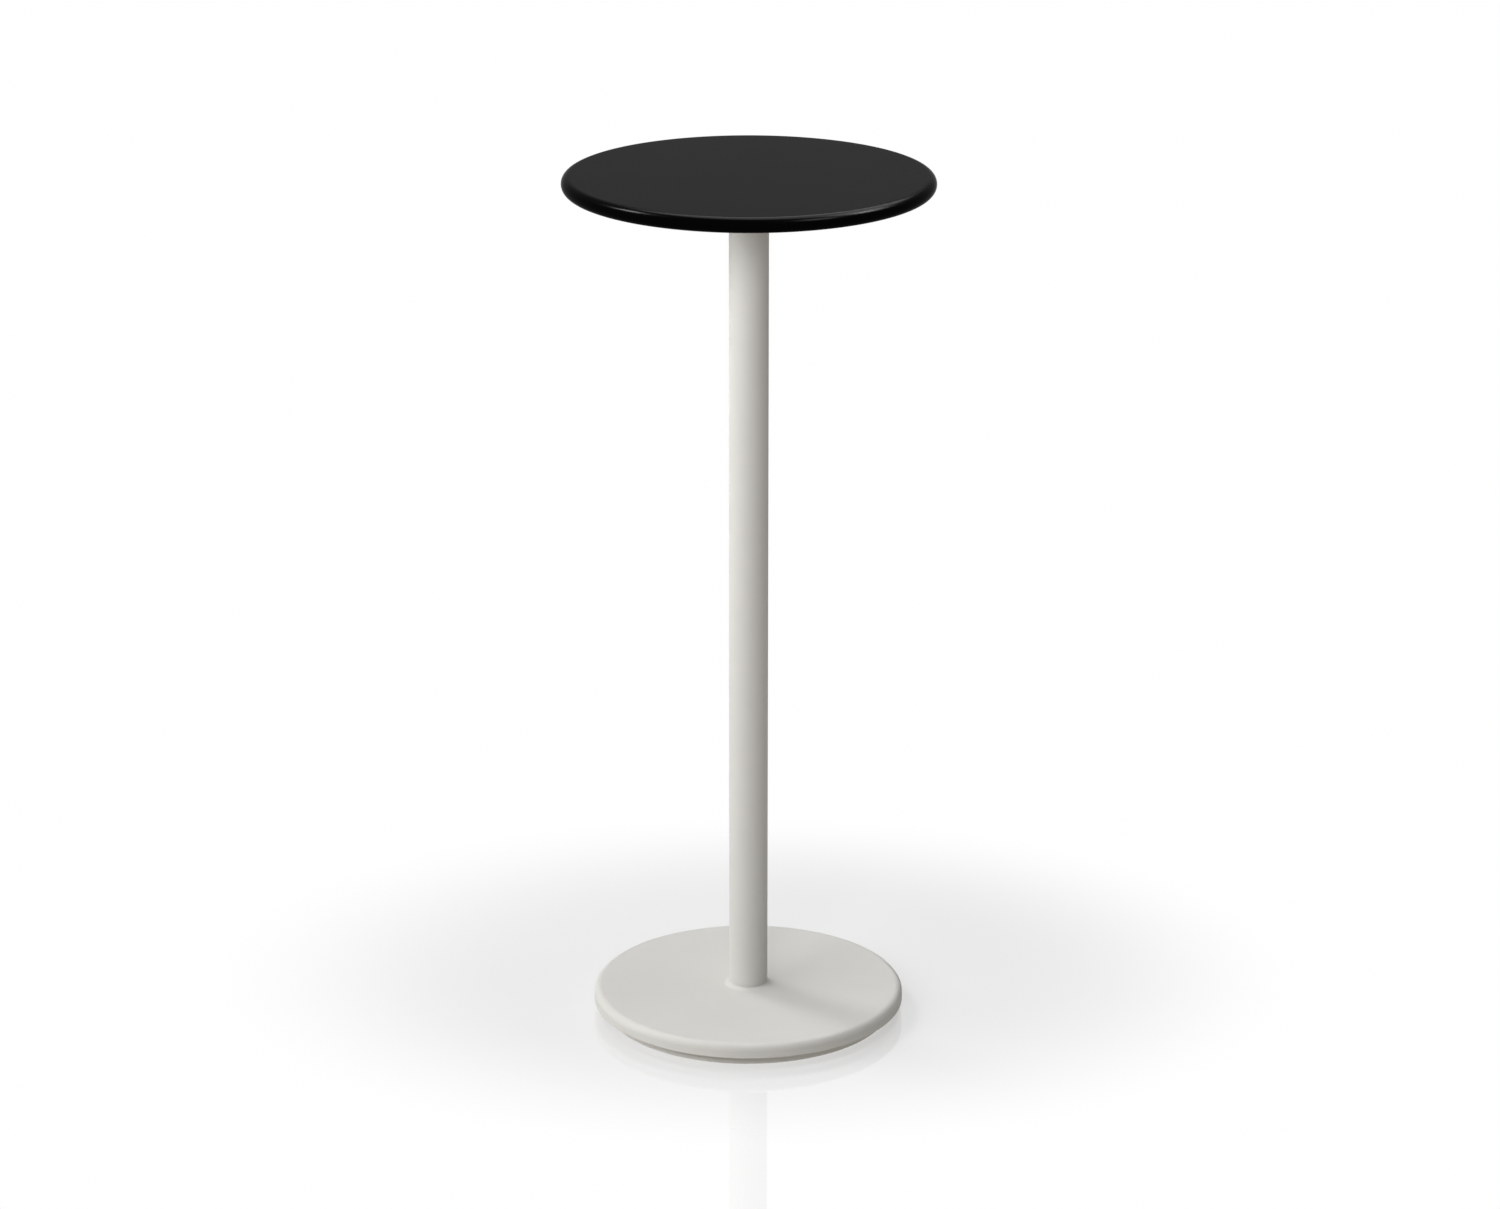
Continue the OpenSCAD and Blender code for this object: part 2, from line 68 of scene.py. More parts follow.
lens = bpy.data.cameras.new("camera")
lens.lens, lens.sensor_width, lens.clip_end = LENS_MM, SENSOR_MM, FAR_CLIP
camera = bpy.data.objects.new("camera", lens)
scene.collection.objects.link(camera)
camera.matrix_world = (
    Matrix.Translation(CAMERA_PLACE)
    @ Matrix.Rotation(-CAMERA_RIGHT, 4, "Z")
    @ Matrix.Rotation(math.pi / 2 - CAMERA_DOWN, 4, "X")
    @ Matrix.Rotation(CAMERA_ROLL, 4, "Z")
)
scene.camera = camera


# Studio: a white floor with a faint mirror image, a white surround, and soft lamps. Floor and
# surround are white to the camera and in reflections, and give the table a plain level of light.
SURROUND_LEVEL, FLOOR_LEVEL = 0.039, 0.586
FILL_TINT, PURE_WHITE = (1.04, 1.0, 0.94, 1), (1, 1, 1, 1)
LAMP_DISTANCE = 3.0
LAMP_TARGET, SHEEN_TARGET = Vector((0, 0, 0.5)), Vector((0, 0, 1.07))
# Lamps light the table and aren't mirrored in it. Each has its degrees right of front and above
# level, its width and its watts.
LAMPS = {
    "wide_left": (-85, 20, 2.4, 36.2),
    "left_front": (-50, 28, 1.8, 33.5),
    "front": (-10, 28, 1.1, 24.2),
    "left_back": (-130, 42, 1.1, 36.8),
    "high": (90, 78, 1.1, 23.2),
}
# Softboxes show only as a sheen, on the lacquer above all, and the floor leaves them out. Each
# has the same, but its brightness in place of watts.
SOFTBOXES = {
    "back_box": (160, 62, 3.4, 25.0),
    "right_box": (100, 50, 1.6, 53.0),
    "right_glint": (95, 45, 0.6, 182.0),
    "right_front_box": (50, 45, 1.0, 48.0),
    "left_glint": (-98, 45, 0.7, 215.0),
}
FLOOR_RADIUS, FLOOR_SIDES = 60.0, 128
FLOOR_PAINT, FLOOR_WHITE = (0.86, 0.86, 0.86, 1), 1.03
MIRROR_SHARE, MIRROR_ROUGH = 0.14, 0.03
# The floor near the table is a faint grey oval of painted shade. Part of it is lit plainly, so it
# also takes the real shadow. The values give where the oval fades out, how much it glows, how much
# of it glows, and how far back and how flat it lies.
PAINTED_SHADE_IN, PAINTED_SHADE_OUT, PAINTED_SHADE_GLOW, PAINTED_SHADE_SHARE = 0.30, 0.72, 0.93, 0.6
PAINTED_SHADE_BACK, PAINTED_SHADE_FLATNESS = 0.12, 1.3


class Wiring:
    """Adds nodes to a tree, with their settings, and with values or other nodes on their inputs."""

    def __init__(self, tree):
        self.tree = tree
        tree.nodes.clear()

    def add(self, kind, inputs=None, **settings):
        made = self.tree.nodes.new(kind)
        for name, value in settings.items():
            setattr(made, name, value)
        for name, value in (inputs or {}).items():
            self.feed(self.open(made.inputs, name), value)
        return made

    def open(self, sockets, name):
        if isinstance(name, int):
            return sockets[name]
        return next(s for s in sockets if s.enabled and s.name == name)

    def feed(self, socket, value):
        if isinstance(value, bpy.types.Node):
            value = next(s for s in value.outputs if s.enabled)
        if isinstance(value, bpy.types.NodeSocket):
            self.tree.links.new(value, socket)
        else:
            socket.default_value = value

    def math(self, operation, *values):
        return self.add("ShaderNodeMath", dict(enumerate(values)), operation=operation)

    def seen_white(self):
        """1 for the camera, reflections and glass, and 0 for the light that falls on things."""
        path = self.add("ShaderNodeLightPath").outputs
        seen = self.math("MAXIMUM", path["Is Camera Ray"], path["Is Glossy Ray"])
        return self.math("MAXIMUM", seen, path["Is Transmission Ray"])


scene.world = bpy.data.worlds.new("surround")
scene.world.use_nodes = True
air = Wiring(scene.world.node_tree)
white_seen = air.seen_white()
level = air.add("ShaderNodeMapRange", {
    "Value": white_seen, "To Min": SURROUND_LEVEL, "To Max": 1.0})
tint = air.add("ShaderNodeMix", {
    "Factor": white_seen, "A": FILL_TINT, "B": PURE_WHITE}, data_type="RGBA")
sky = air.add("ShaderNodeBackground", {"Color": tint, "Strength": level})
air.add("ShaderNodeOutputWorld", {"Surface": sky})


def hang(name, target, right_of_front, above_level, width, watts):
    """A round lamp that faces its target."""
    light = bpy.data.lights.new(name, "AREA")
    light.shape, light.size, light.energy = "DISK", width, watts
    lamp = bpy.data.objects.new(name, light)
    scene.collection.objects.link(lamp)
    up = math.radians(above_level)
    front = Vector((0, -math.cos(up), math.sin(up)))
    toward = Matrix.Rotation(math.radians(right_of_front), 3, "Z") @ front
    lamp.location = target + LAMP_DISTANCE * toward
    lamp.rotation_euler = toward.to_track_quat("Z", "Y").to_euler()
    return lamp


for name, angles_width_watts in LAMPS.items():
    hang(name, LAMP_TARGET, *angles_width_watts).visible_glossy = False
without_softboxes = bpy.data.collections.new("without_softboxes")
for name, (right_of_front, above_level, width, brightness) in SOFTBOXES.items():
    watts = brightness * math.pi * math.pi * width ** 2 / 4
    softbox = hang(name, SHEEN_TARGET, right_of_front, above_level, width, watts)
    softbox.visible_diffuse = False
    softbox.light_linking.receiver_collection = without_softboxes

bpy.ops.mesh.primitive_circle_add(vertices=FLOOR_SIDES, radius=FLOOR_RADIUS, fill_type="NGON")
floor = bpy.context.object
floor.name = "floor"
paint = bpy.data.materials.new("white_floor")
paint.use_nodes = True
ground = Wiring(paint.node_tree)
seen = ground.seen_white()
# Painted shade: in an oval round the table the floor glows dimmer. A share of the oval is lit
# plainly and takes the real shadow.
spot = ground.add("ShaderNodeTexCoord").outputs["Object"]
oval = ground.add("ShaderNodeVectorMath", {
    0: spot, 1: (1, PAINTED_SHADE_FLATNESS, 1), 2: (0, -PAINTED_SHADE_BACK * PAINTED_SHADE_FLATNESS, 0),
}, operation="MULTIPLY_ADD")
away = ground.add("ShaderNodeVectorMath", {0: oval}, operation="LENGTH").outputs["Value"]
painted_shade_fade = ground.add(
    "ShaderNodeMapRange", {"Value": away, "From Min": PAINTED_SHADE_IN, "From Max": PAINTED_SHADE_OUT},
    interpolation_type="SMOOTHSTEP")
matt = ground.add("ShaderNodeBsdfDiffuse", {"Color": FLOOR_PAINT})
glow = ground.add("ShaderNodeMapRange", {
    "Value": painted_shade_fade, "To Min": PAINTED_SHADE_GLOW, "To Max": FLOOR_WHITE})
white = ground.add("ShaderNodeEmission", {"Strength": glow})
share = ground.add("ShaderNodeMapRange", {"Value": painted_shade_fade, "To Min": PAINTED_SHADE_SHARE, "To Max": 1.0})
lit = ground.add("ShaderNodeMixShader", {0: share, 1: matt, 2: white})
mirror = ground.add("ShaderNodeBsdfGlossy", {"Roughness": MIRROR_ROUGH})
shown = ground.add("ShaderNodeMixShader", {0: MIRROR_SHARE, 1: lit, 2: mirror})
bounce = ground.add("ShaderNodeEmission", {"Color": FILL_TINT, "Strength": FLOOR_LEVEL})
floor_skin = ground.add("ShaderNodeMixShader", {0: seen, 1: bounce, 2: shown})
clear = ground.add("ShaderNodeBsdfTransparent")
back = ground.add("ShaderNodeNewGeometry").outputs["Backfacing"]
two_sided = ground.add("ShaderNodeMixShader", {0: back, 1: floor_skin, 2: clear})
ground.add("ShaderNodeOutputMaterial", {"Surface": two_sided})
floor.data.materials.append(paint)
without_softboxes.objects.link(floor)
without_softboxes.collection_objects[0].light_linking.link_state = "EXCLUDE"


# Base cover: an aluminium casting with a cove for the column and a rounded edge, powder coated
# pale warm grey. It is the model's own solid, with the coat's fine, even texture.
COAT = (0.640, 0.632, 0.604)


def surface(name, tone, rough, patch, grain, relief,
            spread=0.03, metallic=0.0, level=0.5, coat=(0, 0.2)):
    """A finish whose colour and gloss vary a little in patches, with a fine relief.

    rough is its least and most roughness, patch and grain are in features per metre, relief is in
    metres, and coat is the weight and roughness of a clear coat."""
    made = bpy.data.materials.new(name)
    made.use_nodes = True
    skin = Wiring(made.node_tree)
    place = skin.add("ShaderNodeTexCoord").outputs["Object"]
    patches = skin.add("ShaderNodeTexNoise", {
        "Vector": place, "Scale": patch, "Detail": 3.0}).outputs[0]
    grains = skin.add("ShaderNodeTexNoise", {
        "Vector": place, "Scale": grain, "Detail": 2.0}).outputs[0]
    low = tuple(c * (1 - spread) for c in tone) + (1,)
    high = tuple(min(c * (1 + spread), 1) for c in tone) + (1,)
    colour = skin.add("ShaderNodeMix", {"Factor": patches, "A": low, "B": high}, data_type="RGBA")
    gloss = skin.add("ShaderNodeMapRange", {
        "Value": patches, "To Min": rough[0], "To Max": rough[1]})
    bump = skin.add("ShaderNodeBump", {"Height": grains, "Distance": relief})
    principled = skin.add("ShaderNodeBsdfPrincipled", {
        "Base Color": colour, "Roughness": gloss, "Normal": bump, "Metallic": metallic,
        "Specular IOR Level": level, "Coat Weight": coat[0], "Coat Roughness": coat[1]})
    skin.add("ShaderNodeOutputMaterial", {"Surface": principled})
    return made


def powder_coat(name):
    return surface(name, COAT, (0.64, 0.72), patch=35, grain=900, relief=0.000006,
                   spread=0.012, level=0.12)


node["base_cover"].material_slots[0].material = powder_coat("cover_powder_coat")


# Ballast disc: a steel plate under the cover, with the same coat. Its rim is the recessed ring
# that the base stands on, and its openings let the glides and the lower nut be reached.
node["ballast_disc"].material_slots[0].material = powder_coat("ballast_powder_coat")


# Ballast screws: four M8 countersunk screws of blackened steel, with a hexagon socket. They come
# up through the disc into the cover's bosses.
BALLAST_SCREW_REACH, BALLAST_SCREW_TOP = 0.100, 0.0272
BALLAST_HEAD_R, BALLAST_HEAD_Z, BALLAST_HEAD_LIP = 0.008, 0.0013, 0.00012
BALLAST_KEY, BALLAST_KEY_DEPTH = 0.005, 0.0026
# The drill that goes before a key socket's hexagon, as a share of its width.
KEY_DRILL = 0.9
M8_R, M8_PITCH = 0.004, 0.00125
# Edges are broken by the larger size, and fine ones by the smaller.
BREAK, FINE_BREAK = 0.0005, 0.0002
# A thread's depth as a share of its pitch, and its form along one turn: 0 is root, 1 is crest.
THREAD_DEPTH = 0.613
THREAD_FORM = ((0.0, 0), (0.25, 0), (0.56, 1), (0.69, 1))
WELD, SHARP = 0.000002, math.radians(32)


class Recipe(Wiring):
    """A Geometry Nodes tree with named inputs, whose result is one piece of a single material."""

    def __init__(self, name, **sizes):
        super().__init__(bpy.data.node_groups.new(name, "GeometryNodeTree"))
        self.keys = {}
        self.declare("Geometry", "NodeSocketGeometry")
        for label, value in sizes.items():
            kind = "NodeSocketInt" if isinstance(value, int) else "NodeSocketFloat"
            self.declare(label, kind).default_value = value
        self.declare("Finish", "NodeSocketMaterial")
        self.tree.interface.new_socket(
            "Geometry", in_out="OUTPUT", socket_type="NodeSocketGeometry")
        self.given = self.tree.nodes.new("NodeGroupInput").outputs

    def declare(self, label, kind):
        socket = self.tree.interface.new_socket(label, in_out="INPUT", socket_type=kind)
        self.keys[label] = socket.identifier
        return socket

    def end(self, shape):
        """Welds the shape, shades it smooth but for its sharp edges, and gives it its finish."""
        single = self.add("GeometryNodeRealizeInstances", {"Geometry": shape})
        welded = self.add("GeometryNodeMergeByDistance", {"Geometry": single, "Distance": WELD})
        smooth = self.add("GeometryNodeSetShadeSmooth", {0: welded}, domain="FACE")
        corner = self.add("GeometryNodeInputMeshEdgeAngle").outputs["Unsigned Angle"]
        sharp = self.add("FunctionNodeCompare", {"A": corner, "B": SHARP},
                         data_type="FLOAT", operation="GREATER_THAN")
        creased = self.add("GeometryNodeSetShadeSmooth", {
            0: smooth, "Selection": sharp, "Shade Smooth": False}, domain="EDGE")
        finished = self.add("GeometryNodeSetMaterial", {
            "Geometry": creased, "Material": self.given["Finish"]})
        self.add("NodeGroupOutput", {"Geometry": finished})

    def make(self, name, mesh, finish, **sizes):
        """The tree's result on a mesh as a plain mesh, faces outwards."""
        piece = bpy.data.objects.new(name, mesh)
        scene.collection.objects.link(piece)
        modifier = piece.modifiers.new("recipe", "NODES")
        modifier.node_group = self.tree
        for label, value in sizes.items():
            modifier[self.keys[label]] = value
        modifier[self.keys["Finish"]] = finish
        bpy.context.view_layer.update()
        depsgraph = bpy.context.evaluated_depsgraph_get()
        result = bpy.data.meshes.new_from_object(piece.evaluated_get(depsgraph))
        piece.modifiers.clear()
        piece.data = result
        shell = bmesh.new()
        shell.from_mesh(result)
        bmesh.ops.recalc_face_normals(shell, faces=shell.faces)
        shell.to_mesh(result)
        shell.free()
        return piece


# A turned piece. Its own mesh is a half section, a chain of points at (radius, 0, height), which
# the tree spins round the axis. A point may be drawn out to a hexagon, follow a slope there, or
# climb with the thread's pitch.
turning = Recipe("turning", Sides=48, Pitch=0.001, Crest=0.003, Depth=0.0006, Foot=0.0, Top=0.0)
half = turning.given["Geometry"]
count = turning.add("GeometryNodeAttributeDomainSize", {"Geometry": half}).outputs["Point Count"]
columns = turning.math("ADD", turning.given["Sides"], 1)
grid = turning.add("GeometryNodeMeshGrid", {
    "Size X": 1, "Size Y": 1, "Vertices X": columns, "Vertices Y": count})
across = turning.add("ShaderNodeSeparateXYZ", {0: turning.add("GeometryNodeInputPosition")}).outputs
share = turning.math("ADD", across["X"], 0.5)
row = turning.math("ROUND", turning.math(
    "MULTIPLY", turning.math("ADD", across["Y"], 0.5), turning.math("SUBTRACT", count, 1)))


def on_section(kind, value):
    """The value at this row's point of the half section."""
    return turning.add("GeometryNodeSampleIndex", {
        "Geometry": half, "Value": value, "Index": row}, data_type=kind)


def mark(name):
    named = turning.add("GeometryNodeInputNamedAttribute", {"Name": name}, data_type="FLOAT")
    return on_section("FLOAT", named)


point = turning.add("ShaderNodeSeparateXYZ", {
    0: on_section("FLOAT_VECTOR", turning.add("GeometryNodeInputPosition"))}).outputs
angle = turning.math("MULTIPLY", share, math.tau)
off_flat = turning.math("SUBTRACT", turning.math("MODULO", angle, math.pi / 3), math.pi / 6)
stretch = turning.math("SUBTRACT", turning.math("DIVIDE", 1, turning.math("COSINE", off_flat)), 1)
drawn = turning.math("MULTIPLY", point["X"], turning.math("MULTIPLY", stretch, mark("hexagon")))
climb = turning.math("MULTIPLY", share, turning.given["Pitch"])
climbed = turning.math("ADD", point["Z"], climb)
above_foot = turning.math("MAXIMUM", climbed, turning.given["Foot"])
threaded_z = turning.math("MINIMUM", above_foot, turning.given["Top"])
past_foot = turning.math("SUBTRACT", threaded_z, turning.given["Foot"])
to_top = turning.math("SUBTRACT", turning.given["Top"], threaded_z)
run_out = turning.math("SUBTRACT", turning.given["Crest"], past_foot)
root = turning.math("SUBTRACT", turning.given["Crest"], turning.given["Depth"])
start = turning.math("ADD", root, to_top)
threaded_r = turning.math("MINIMUM", turning.math("MAXIMUM", point["X"], run_out), start)
plain_r = turning.math("ADD", point["X"], drawn)
plain_z = turning.math("ADD", point["Z"], turning.math("MULTIPLY", drawn, mark("slope")))
lead = mark("lead")
radius = turning.add("ShaderNodeMix", {
    "Factor": lead, "A": plain_r, "B": threaded_r}, data_type="FLOAT")
height = turning.add("ShaderNodeMix", {
    "Factor": lead, "A": plain_z, "B": threaded_z}, data_type="FLOAT")
spun = turning.add("ShaderNodeCombineXYZ", {
    "X": turning.math("MULTIPLY", radius, turning.math("COSINE", angle)),
    "Y": turning.math("MULTIPLY", radius, turning.math("SINE", angle)),
    "Z": height})
turning.end(turning.add("GeometryNodeSetPosition", {"Geometry": grid, "Position": spun}))


def at(radius, height, hexagon=0.0, slope=0.0, lead=0.0):
    """A point of a half section."""
    return radius, height, hexagon, slope, lead


def arc(x, z, r, start, stop, steps):
    """Points of an arc round (x, z), with its angles in degrees from the outward direction."""
    angles = [math.radians(start + (stop - start) * i / steps) for i in range(steps + 1)]
    return [at(x + r * math.cos(a), z + r * math.sin(a)) for a in angles]


def thread(crest, pitch, foot, top):
    """Rows of a thread from foot to top, with a turn to spare at each end."""
    root_and_crest = (crest - THREAD_DEPTH * pitch, crest)
    turns = math.ceil((top - foot) / pitch) + 2
    return [at(root_and_crest[side], foot + (turn - 1 + along) * pitch, lead=1.0)
            for turn in range(turns) for along, side in THREAD_FORM]


def turned(name, points, finish, sides=48, **sizes):
    """A turned piece from its half section."""
    half_section = bpy.data.meshes.new(name + "_section")
    chain = [(i, i + 1) for i in range(len(points) - 1)]
    half_section.from_pydata([(p[0], 0, p[1]) for p in points], chain, [])
    for place, label in ((2, "hexagon"), (3, "slope"), (4, "lead")):
        marks = half_section.attributes.new(label, "FLOAT", "POINT")
        for value, p in zip(marks.data, points):
            value.value = p[place]
    return turning.make(name, half_section, finish, Sides=sides, **sizes)


def key_floor(half_width, floor, rim, tip):
    """The bottom of a hexagon socket, with the cone that its drill leaves."""
    return [at(0, floor + tip), at(half_width * KEY_DRILL, floor + rim), at(half_width, floor, 1)]


def thread_sizes(crest, pitch, foot, top):
    """The same thread's sizes for the turning recipe."""
    return {"Crest": crest, "Pitch": pitch, "Depth": THREAD_DEPTH * pitch, "Foot": foot, "Top": top}


# Places like pieces round the column's axis.
circling = Recipe("circling", Count=4, Start=0.0)
spots = circling.add("GeometryNodeMeshLine", {
    "Count": circling.given["Count"], "Offset": (0, 0, 0)})
turn = circling.math("DIVIDE", math.tau, circling.given["Count"])
place_number = circling.add("GeometryNodeInputIndex")
swing = circling.math("MULTIPLY_ADD", place_number, turn, circling.given["Start"])
swung = circling.add("ShaderNodeCombineXYZ", {"Z": swing})
circling.end(circling.add("GeometryNodeInstanceOnPoints", {
    "Points": spots, "Instance": circling.given["Geometry"], "Rotation": swung}))


def around(name, piece, reach, count, start, finish):
    """The piece, moved out to its reach, count times round the axis."""
    piece.data.transform(Matrix.Translation((reach, 0, 0)))
    ring = circling.make(name, piece.data, finish, Count=count, Start=start)
    bpy.data.objects.remove(piece)
    return ring


def settle(piece, body, slot, *nodes):
    """The piece rides on its body and stands for its nodes."""
    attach(piece, body)
    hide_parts(*nodes)


black_oxide = surface("black_oxide", (0.045, 0.045, 0.05), (0.32, 0.45), patch=400, grain=2500,
                      relief=0.000003, metallic=1.0)
key_half = BALLAST_KEY / 2
head_cone_top = BALLAST_HEAD_Z + BALLAST_HEAD_R - M8_R
ballast_thread = (M8_R, M8_PITCH, head_cone_top, BALLAST_SCREW_TOP)
ballast_screw = turned("ballast_screw", [
    *key_floor(key_half, BALLAST_HEAD_Z + BALLAST_KEY_DEPTH, rim=0.0003, tip=0.0008),
    at(key_half, BALLAST_HEAD_Z + FINE_BREAK, 1), at(key_half + BREAK, BALLAST_HEAD_Z),
    at(BALLAST_HEAD_R - BREAK, BALLAST_HEAD_Z),
    at(BALLAST_HEAD_R - FINE_BREAK, BALLAST_HEAD_Z + BALLAST_HEAD_LIP),
    *thread(*ballast_thread), at(0, BALLAST_SCREW_TOP),
], black_oxide, **thread_sizes(*ballast_thread))
settle(around("ballast_screw_set", ballast_screw, BALLAST_SCREW_REACH, 4, 0.0, black_oxide),
       "table", "black_steel", "ballast_screws")


# Levelling glides: four zinc-plated M8 stems with a hexagon for the spanner and a ball at the
# foot, each snapped into a moulded polyamide pad with a rubber sole let into it.
GLIDE_REACH, FIRST_GLIDE = 0.146, 45
BALL_Z, BALL_R, NECK_R = 0.0056, 0.0036, 0.0025
HEX_LOW, HEX_HIGH, HEX_HALF = 0.0115, 0.0150, 0.0065
# A spanner hexagon's end faces are round, at this share of its width, and slope off to its corners.
HEX_FACE, HEX_SLOPE = 0.95, math.tan(math.radians(30))
STEM_PLAIN, STEM_TOP = 0.0004, 0.0272
PAD_R, PAD_RIM_Z, PAD_RIM_R, PAD_FLANK, PAD_TOP = 0.0125, 0.0004, 0.00075, 62, 0.0094
COLLAR_R, COLLAR_Z, COLLAR_ROUND = 0.0075, 0.0072, 0.0005
COLLAR_FILLET = ((0.0009, -0.0006), (0.0002, -0.0001), (0.0, 0.0002))
BALL_SEAT_R, MOUTH_R, MOUTH_LEAD = 0.0039, 0.00345, 0.0007
SOLE_R, SOLE_T, SOLE_FIT, SOLE_BREAK = 0.011, 0.0012, 0.00005, 0.0001
# The sole's three grooves, and their half widths at mouth and floor.
GROOVES, GROOVE_DEPTH = (0.0088, 0.0064, 0.0040), 0.0003
GROOVE_MOUTH, GROOVE_FLOOR = 0.0007, 0.0004


def hexagon_rows(half_width, low, high):
    """The two faces and the chamfered corners of a hexagon, from its lower face upwards."""
    face = half_width * HEX_FACE
    dip = (half_width - face) * HEX_SLOPE
    return [
        at(face, low), at(half_width, low + dip, 1, HEX_SLOPE),
        at(half_width, high - dip, 1, -HEX_SLOPE), at(face, high),
    ]


zinc = surface("zinc_plate", (0.60, 0.61, 0.62), (0.22, 0.36), patch=220, grain=1800,
               relief=0.000004, spread=0.06, metallic=1.0)
polyamide = surface("moulded_polyamide", (0.022, 0.022, 0.022), (0.45, 0.58), patch=180,
                    grain=2600, relief=0.000008, spread=0.08)
rubber = surface("sole_rubber", (0.055, 0.054, 0.053), (0.78, 0.9), patch=260, grain=3200,
                 relief=0.00002, spread=0.12)
stem_thread = (M8_R, M8_PITCH, HEX_HIGH + STEM_PLAIN, STEM_TOP)
neck_z = BALL_Z + math.sqrt(BALL_R ** 2 - NECK_R ** 2)
neck_angle = math.degrees(math.asin((neck_z - BALL_Z) / BALL_R))
mouth_z = BALL_Z + math.sqrt(BALL_SEAT_R ** 2 - MOUTH_R ** 2)
mouth_angle = math.degrees(math.asin((mouth_z - BALL_Z) / BALL_SEAT_R))
stem_section = [
    *arc(0, BALL_Z, BALL_R, -90, neck_angle, 24),
    at(NECK_R, HEX_LOW - BREAK), at(NECK_R + BREAK, HEX_LOW),
    *hexagon_rows(HEX_HALF, HEX_LOW, HEX_HIGH), at(M8_R, HEX_HIGH),
    *thread(*stem_thread), at(0, STEM_TOP),
]
recess_r = SOLE_R + SOLE_FIT
pad_section = [
    at(0, SOLE_T), at(recess_r, SOLE_T), at(recess_r, PAD_RIM_Z + SOLE_BREAK),
    at(recess_r + SOLE_BREAK, PAD_RIM_Z),
    *arc(PAD_R - PAD_RIM_R, PAD_RIM_Z + PAD_RIM_R, PAD_RIM_R, -90, PAD_FLANK, 10),
    *[at(COLLAR_R + out, COLLAR_Z + up) for out, up in COLLAR_FILLET],
    *arc(COLLAR_R - COLLAR_ROUND, PAD_TOP - COLLAR_ROUND, COLLAR_ROUND, 0, 90, 6),
    at(MOUTH_R + MOUTH_LEAD, PAD_TOP), at(MOUTH_R, PAD_TOP - MOUTH_LEAD),
    *arc(0, BALL_Z, BALL_SEAT_R, mouth_angle, -90, 20),
]
sole_section = [
    at(0, SOLE_T), at(SOLE_R - SOLE_BREAK, SOLE_T), at(SOLE_R, SOLE_T - SOLE_BREAK),
    at(SOLE_R, FINE_BREAK), at(SOLE_R - FINE_BREAK, 0),
]
for ring in GROOVES:
    sole_section += [
        at(ring + GROOVE_MOUTH, 0), at(ring + GROOVE_FLOOR, GROOVE_DEPTH),
        at(ring - GROOVE_FLOOR, GROOVE_DEPTH), at(ring - GROOVE_MOUTH, 0)]
sole_section += [at(0, 0)]
stem = turned("stem", stem_section, zinc, **thread_sizes(*stem_thread))
pad = turned("pad", pad_section, polyamide, sides=72)
sole = turned("sole", sole_section, rubber, sides=72)
for i in range(1, 5):
    turn_to = Matrix.Rotation(math.radians(FIRST_GLIDE + 90 * (i - 1)), 4, "Z")
    place = turn_to @ Matrix.Translation((GLIDE_REACH, 0, 0))
    for like, body, slot, cad in ((stem, f"stem_{i}", "zinc", f"glide_stem_{i}"),
                                  (pad, f"pad_{i}", "pad_plastic", f"glide_pad_{i}"),
                                  (sole, f"pad_{i}", "sole_rubber", f"glide_sole_{i}")):
        piece = bpy.data.objects.new(f"{like.name}_{i}", like.data.copy())
        scene.collection.objects.link(piece)
        piece.data.transform(place)
        settle(piece, body, slot, cad)
for like in (stem, pad, sole):
    bpy.data.objects.remove(like)


# Column: a steel tube, powder coated like the base. Its head stands in the spider's socket and
# its foot in the cover's, where it is turned down a little, so a fine shadow line shows round the
# cove. Both ends are broken with a small chamfer.
TUBE_R, TUBE_BORE, TUBE_FOOT, TUBE_TOP, TUBE_BREAK = 0.02415, 0.02215, 0.027, 1.048, 0.0003
TURNED_R, STEP_LOW, STEP_HIGH = 0.02365, 0.0380, 0.038125

column_finish = powder_coat("column_powder_coat")
tube_section = [
    at(TUBE_BORE, TUBE_FOOT + TUBE_BREAK), at(TUBE_BORE + TUBE_BREAK, TUBE_FOOT),
    at(TURNED_R - TUBE_BREAK, TUBE_FOOT), at(TURNED_R, TUBE_FOOT + TUBE_BREAK),
    at(TURNED_R, STEP_LOW), at(TUBE_R, STEP_HIGH),
    at(TUBE_R, TUBE_TOP - TUBE_BREAK), at(TUBE_R - TUBE_BREAK, TUBE_TOP),
    at(TUBE_BORE + TUBE_BREAK, TUBE_TOP), at(TUBE_BORE, TUBE_TOP - TUBE_BREAK),
    at(TUBE_BORE, TUBE_FOOT + TUBE_BREAK),
]
column = turned("column", tube_section, column_finish, sides=160)
settle(column, "table", "column_coat", "column_tube")


# Tie rod: an M10 rod of zinc-plated steel, threaded at both ends, that clamps spider, column and
# cover together. A nut pulls on a spring washer and a large washer below, and one locks it above.
ROD_R, M10_PITCH = 0.005, 0.0015
ROD_FOOT, ROD_TOP, ROD_MIDDLE = 0.0039, 1.059, 0.540
ROD_THREAD_LOW, ROD_THREAD_HIGH = 0.052, 0.046
NUT_HALF, NUT_H, NUT_BORE, NUT_COUNTERSINK = 0.0085, 0.0084, 0.00505, 0.68
LOWER_NUT_Z, LOCK_NUT_Z = 0.0059, 1.0396
ROD_WASHER_R, ROD_WASHER_BORE, ROD_WASHER_EDGE = 0.015, 0.0054, 0.0005
ROD_WASHER_LOW, ROD_WASHER_HIGH = 0.0165, 0.019

